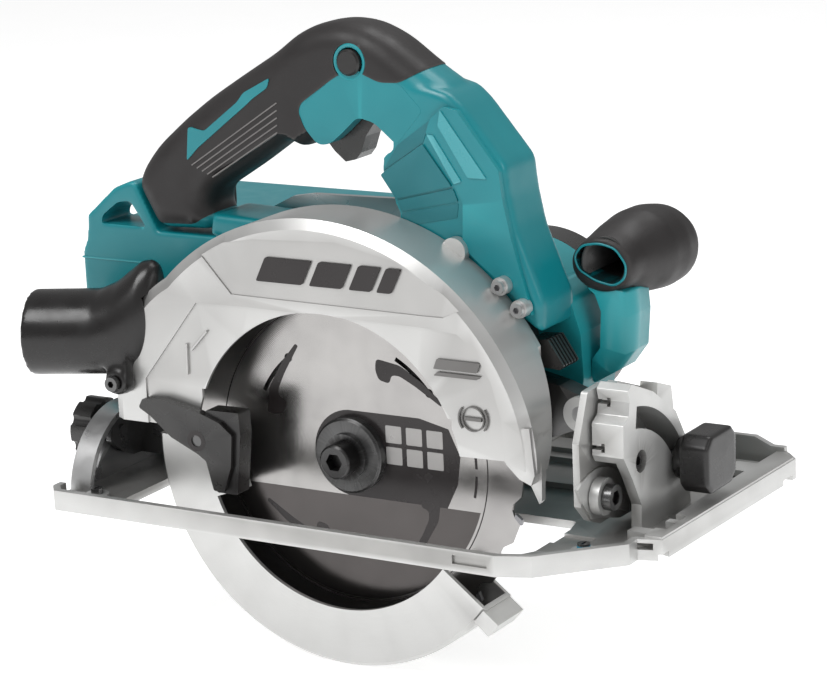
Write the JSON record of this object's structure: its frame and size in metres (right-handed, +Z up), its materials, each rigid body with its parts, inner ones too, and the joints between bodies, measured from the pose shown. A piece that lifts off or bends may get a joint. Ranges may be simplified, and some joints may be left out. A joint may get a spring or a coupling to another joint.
{
  "type": "circular saw",
  "caption": "Battery circular saw with tilting base, swinging lower blade guard, top handle, front grip and rear dust nozzle.",
  "frame": {"origin": "the base's underside, on the bevel axis in the blade's plane, below the arbor at full depth", "axes": "+X is the cutting direction (front), +Y is left seen from behind (motor side), +Z is up, square to the sole"},
  "size_m": [0.3473, 0.198, 0.3097],
  "materials": {
    "teal_plastic": "satin",
    "black_rubber": "matt",
    "black_plastic": "satin",
    "silver_coating": "satin",
    "dark_coated_alloy": "semi-gloss",
    "silver_cast_alloy": "satin",
    "polished_steel": "polished",
    "grey_steel": "satin",
    "dark_steel_screws": "satin",
    "core_steel": "satin",
    "copper": "satin",
    "circuit_board": "satin"
  },
  "bodies": {
    "saw_body": {"blade_case": "silver_coating", "case_back_plate": "silver_coating", "case_screws": "dark_steel_screws", "gear_housing": "dark_coated_alloy", "spindle_bearings": "grey_steel", "motor_bearings": "grey_steel", "stator": "core_steel", "stator_windings": "copper", "motor_housing": "teal_plastic", "motor_end_cover": "black_plastic", "housing_screws": "dark_steel_screws", "handle_shell_right": "teal_plastic", "handle_shell_left": "teal_plastic", "handle_rubber": "black_rubber", "trigger_pin": "grey_steel", "trigger_switch": "circuit_board", "controller": "circuit_board", "battery_housing": "teal_plastic", "terminal_blocks": "black_plastic", "front_grip_core": "teal_plastic", "front_grip_rubber": "black_rubber", "dust_nozzle": "black_plastic", "nozzle_screw": "dark_steel_screws", "hook_bracket": "grey_steel", "work_light": "black_plastic", "depth_clamp_bolt": "grey_steel"},
    "blade": {"saw_blade": "polished_steel", "carbide_tips": "polished_steel", "inner_flange": "polished_steel", "outer_flange": "polished_steel", "blade_bolt": "dark_steel_screws", "spindle": "grey_steel", "spindle_gear": "grey_steel"},
    "idler": {"idler_gear": "grey_steel"},
    "rotor": {"rotor_shaft": "grey_steel", "rotor_core": "core_steel", "cooling_fan": "black_plastic"},
    "guard": {"lower_guard": "silver_cast_alloy", "guard_lever": "black_plastic", "lever_screw": "dark_steel_screws"},
    "trigger_body": {"trigger": "black_plastic"},
    "lock_off": {"lock_off_button": "black_plastic"},
    "shaft_lock": {"shaft_lock_button": "black_plastic"},
    "hook": {"hanging_hook": "grey_steel"},
    "pack_right": {"battery_pack_right": "black_plastic"},
    "pack_left": {"battery_pack_left": "black_plastic"},
    "latch_right": {"latch_button_right": "black_plastic"},
    "latch_left": {"latch_button_left": "black_plastic"},
    "depth_lever_body": {"depth_lever": "grey_steel"},
    "tilt_frame": {"depth_guide": "grey_steel", "front_tilt_plate": "silver_cast_alloy", "depth_pivot_pin": "grey_steel", "bevel_bolts": "grey_steel"},
    "stop_lever_body": {"stop_lever": "silver_cast_alloy"},
    "base": {"base_plate": "silver_cast_alloy", "front_bevel_guide": "silver_cast_alloy", "rear_bevel_guide": "grey_steel", "guide_set_screws": "dark_steel_screws"},
    "front_knob": {"front_bevel_knob": "black_plastic"},
    "rear_knob": {"rear_bevel_knob": "black_plastic"}
  },
  "joints": [
    {"name": "blade_spin", "type": "hinge", "parent": "saw_body", "child": "blade", "pos_m": [0, 0, 0.029], "axis": [0, 1, 0], "continuous": true},
    {"name": "idler_spin", "type": "hinge", "parent": "saw_body", "child": "idler", "pos_m": [0.02933, 0.029, 0.0547], "axis": [0, 1, 0], "continuous": true},
    {"name": "rotor_spin", "type": "hinge", "parent": "saw_body", "child": "rotor", "pos_m": [0.046, 0.07, 0.074], "axis": [0, 1, 0], "continuous": true},
    {"name": "guard_open", "type": "hinge", "parent": "saw_body", "child": "guard", "pos_m": [0, 0, 0.029], "axis": [0, 1, 0], "range_deg": [0, 110], "stiffness_Nm_per_rad": 0.15, "springref_deg": -91.67},
    {"name": "trigger_pull", "type": "hinge", "parent": "saw_body", "child": "trigger_body", "pos_m": [0.006, 0.028, 0.193], "axis": [0, 1, 0], "range_deg": [0, 10], "stiffness_Nm_per_rad": 0.4, "springref_deg": -17.19},
    {"name": "lock_off_press", "type": "slide", "parent": "saw_body", "child": "lock_off", "axis": [0, 1, 0], "range_m": [0, 0.003], "stiffness_N_per_m": 400, "springref_m": -0.004},
    {"name": "shaft_lock_press", "type": "slide", "parent": "saw_body", "child": "shaft_lock", "axis": [-1, 0, 0], "range_m": [0, 0.004], "stiffness_N_per_m": 400, "springref_m": -0.004},
    {"name": "hook_fold", "type": "hinge", "parent": "saw_body", "child": "hook", "pos_m": [-0.02, 0.0476, 0.1312], "axis": [-1, 0, 0], "range_deg": [0, 90]},
    {"name": "pack_right_slide", "type": "slide", "parent": "saw_body", "child": "pack_right", "axis": [-1, 0, 0], "range_m": [0, 0.1]},
    {"name": "pack_left_slide", "type": "slide", "parent": "saw_body", "child": "pack_left", "axis": [-1, 0, 0], "range_m": [0, 0.1]},
    {"name": "latch_right_press", "type": "slide", "parent": "pack_right", "child": "latch_right", "axis": [1, 0, 0], "range_m": [0, 0.003], "stiffness_N_per_m": 400, "springref_m": -0.004},
    {"name": "latch_left_press", "type": "slide", "parent": "pack_left", "child": "latch_left", "axis": [1, 0, 0], "range_m": [0, 0.003], "stiffness_N_per_m": 400, "springref_m": -0.004},
    {"name": "depth_lever_turn", "type": "hinge", "parent": "saw_body", "child": "depth_lever_body", "pos_m": [-0.06589, 0.03, 0.01891], "axis": [0, -1, 0], "range_deg": [0, 30]},
    {"name": "depth_adjust", "type": "hinge", "parent": "saw_body", "child": "tilt_frame", "pos_m": [0.118, 0.02, 0.058], "axis": [0, -1, 0], "range_deg": [0, 30]},
    {"name": "bevel_tilt", "type": "hinge", "parent": "tilt_frame", "child": "base", "pos_m": [0, 0, 0], "axis": [-1, 0, 0], "range_deg": [0, 45]},
    {"name": "stop_lever_turn", "type": "hinge", "parent": "tilt_frame", "child": "stop_lever_body", "pos_m": [0.137, 0, 0.024], "axis": [1, 0, 0], "range_deg": [0, 18]},
    {"name": "front_knob_turn", "type": "hinge", "parent": "tilt_frame", "child": "front_knob", "pos_m": [0.16, 0.05335, 0.02957], "axis": [1, 0, 0], "range_deg": [0, 30]},
    {"name": "rear_knob_turn", "type": "hinge", "parent": "tilt_frame", "child": "rear_knob", "pos_m": [-0.15, -0.00469, 0.02659], "axis": [1, 0, 0], "range_deg": [0, 120]}
  ],
  "couplings": [
    {"joint": "idler_spin", "follows": "blade_spin", "ratio": -0.95},
    {"joint": "rotor_spin", "follows": "blade_spin", "ratio": 3.4545}
  ]
}
